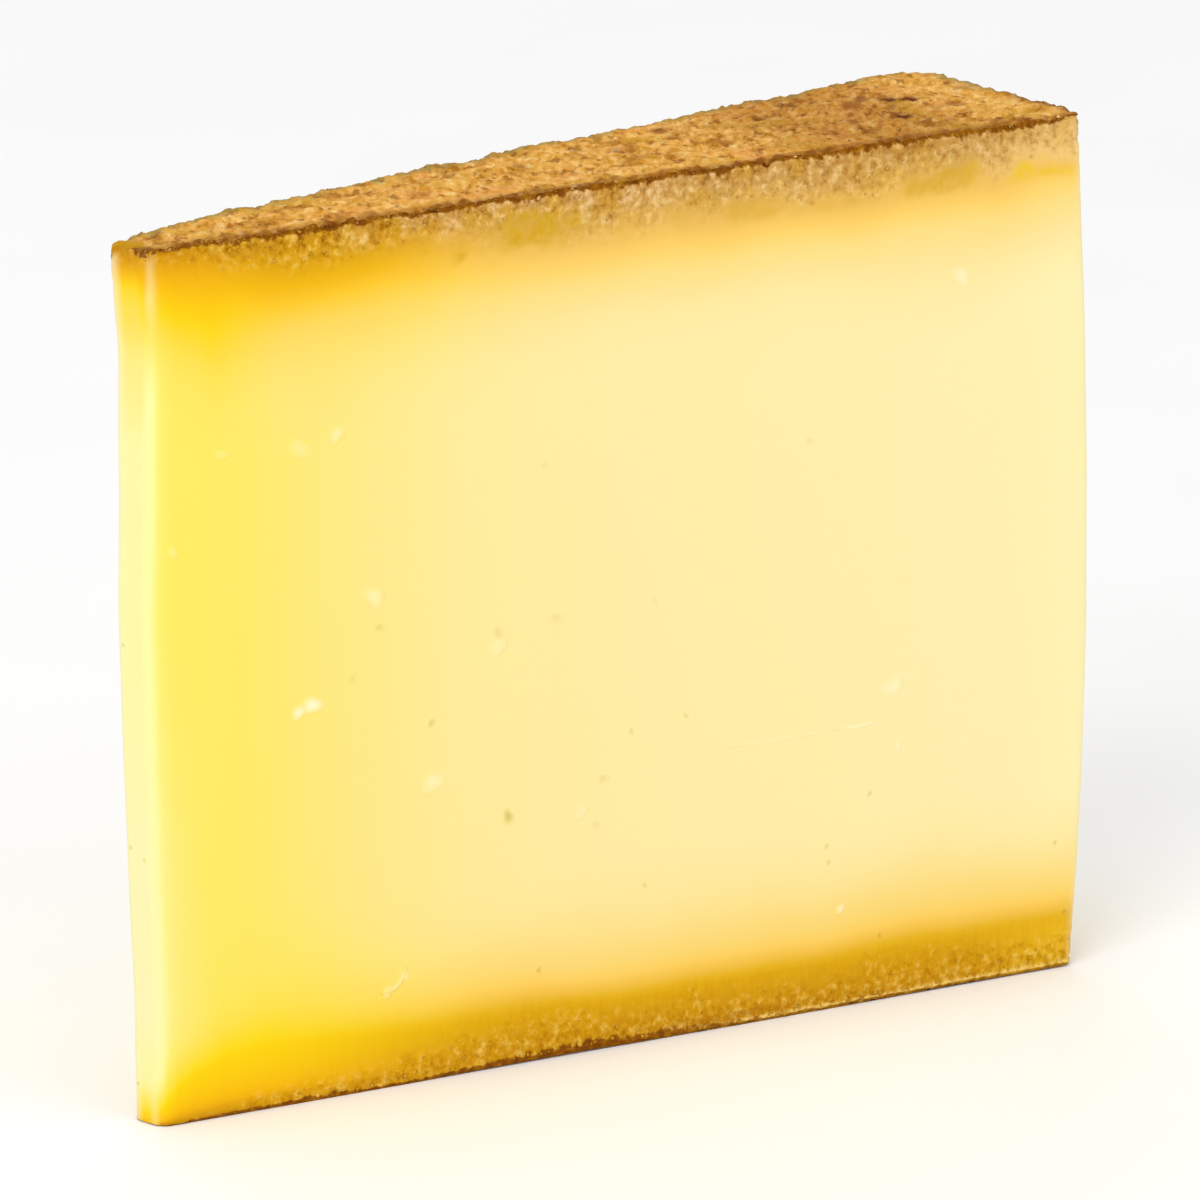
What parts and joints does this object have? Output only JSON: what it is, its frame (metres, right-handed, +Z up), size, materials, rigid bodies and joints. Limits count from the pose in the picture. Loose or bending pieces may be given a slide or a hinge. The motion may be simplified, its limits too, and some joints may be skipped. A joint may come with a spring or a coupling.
{
  "type": "comte cheese wedge",
  "caption": "Tall thin wedge of pressed mountain cheese, standing on its rind, with rough brown rind on its top and foot and smooth cut faces that taper to a narrow nose.",
  "frame": {"origin": "under the middle of the wedge's bounding box, on the surface that it stands on", "axes": "+X along the wedge from its narrow nose to its broad end, +Y from the long front cut to the long back cut, +Z up through the rinds"},
  "size_m": [0.1276, 0.0332, 0.1068],
  "materials": {
    "cheese": "satin"
  },
  "bodies": {
    "root": {"cheese_wedge": "cheese"}
  },
  "joints": []
}
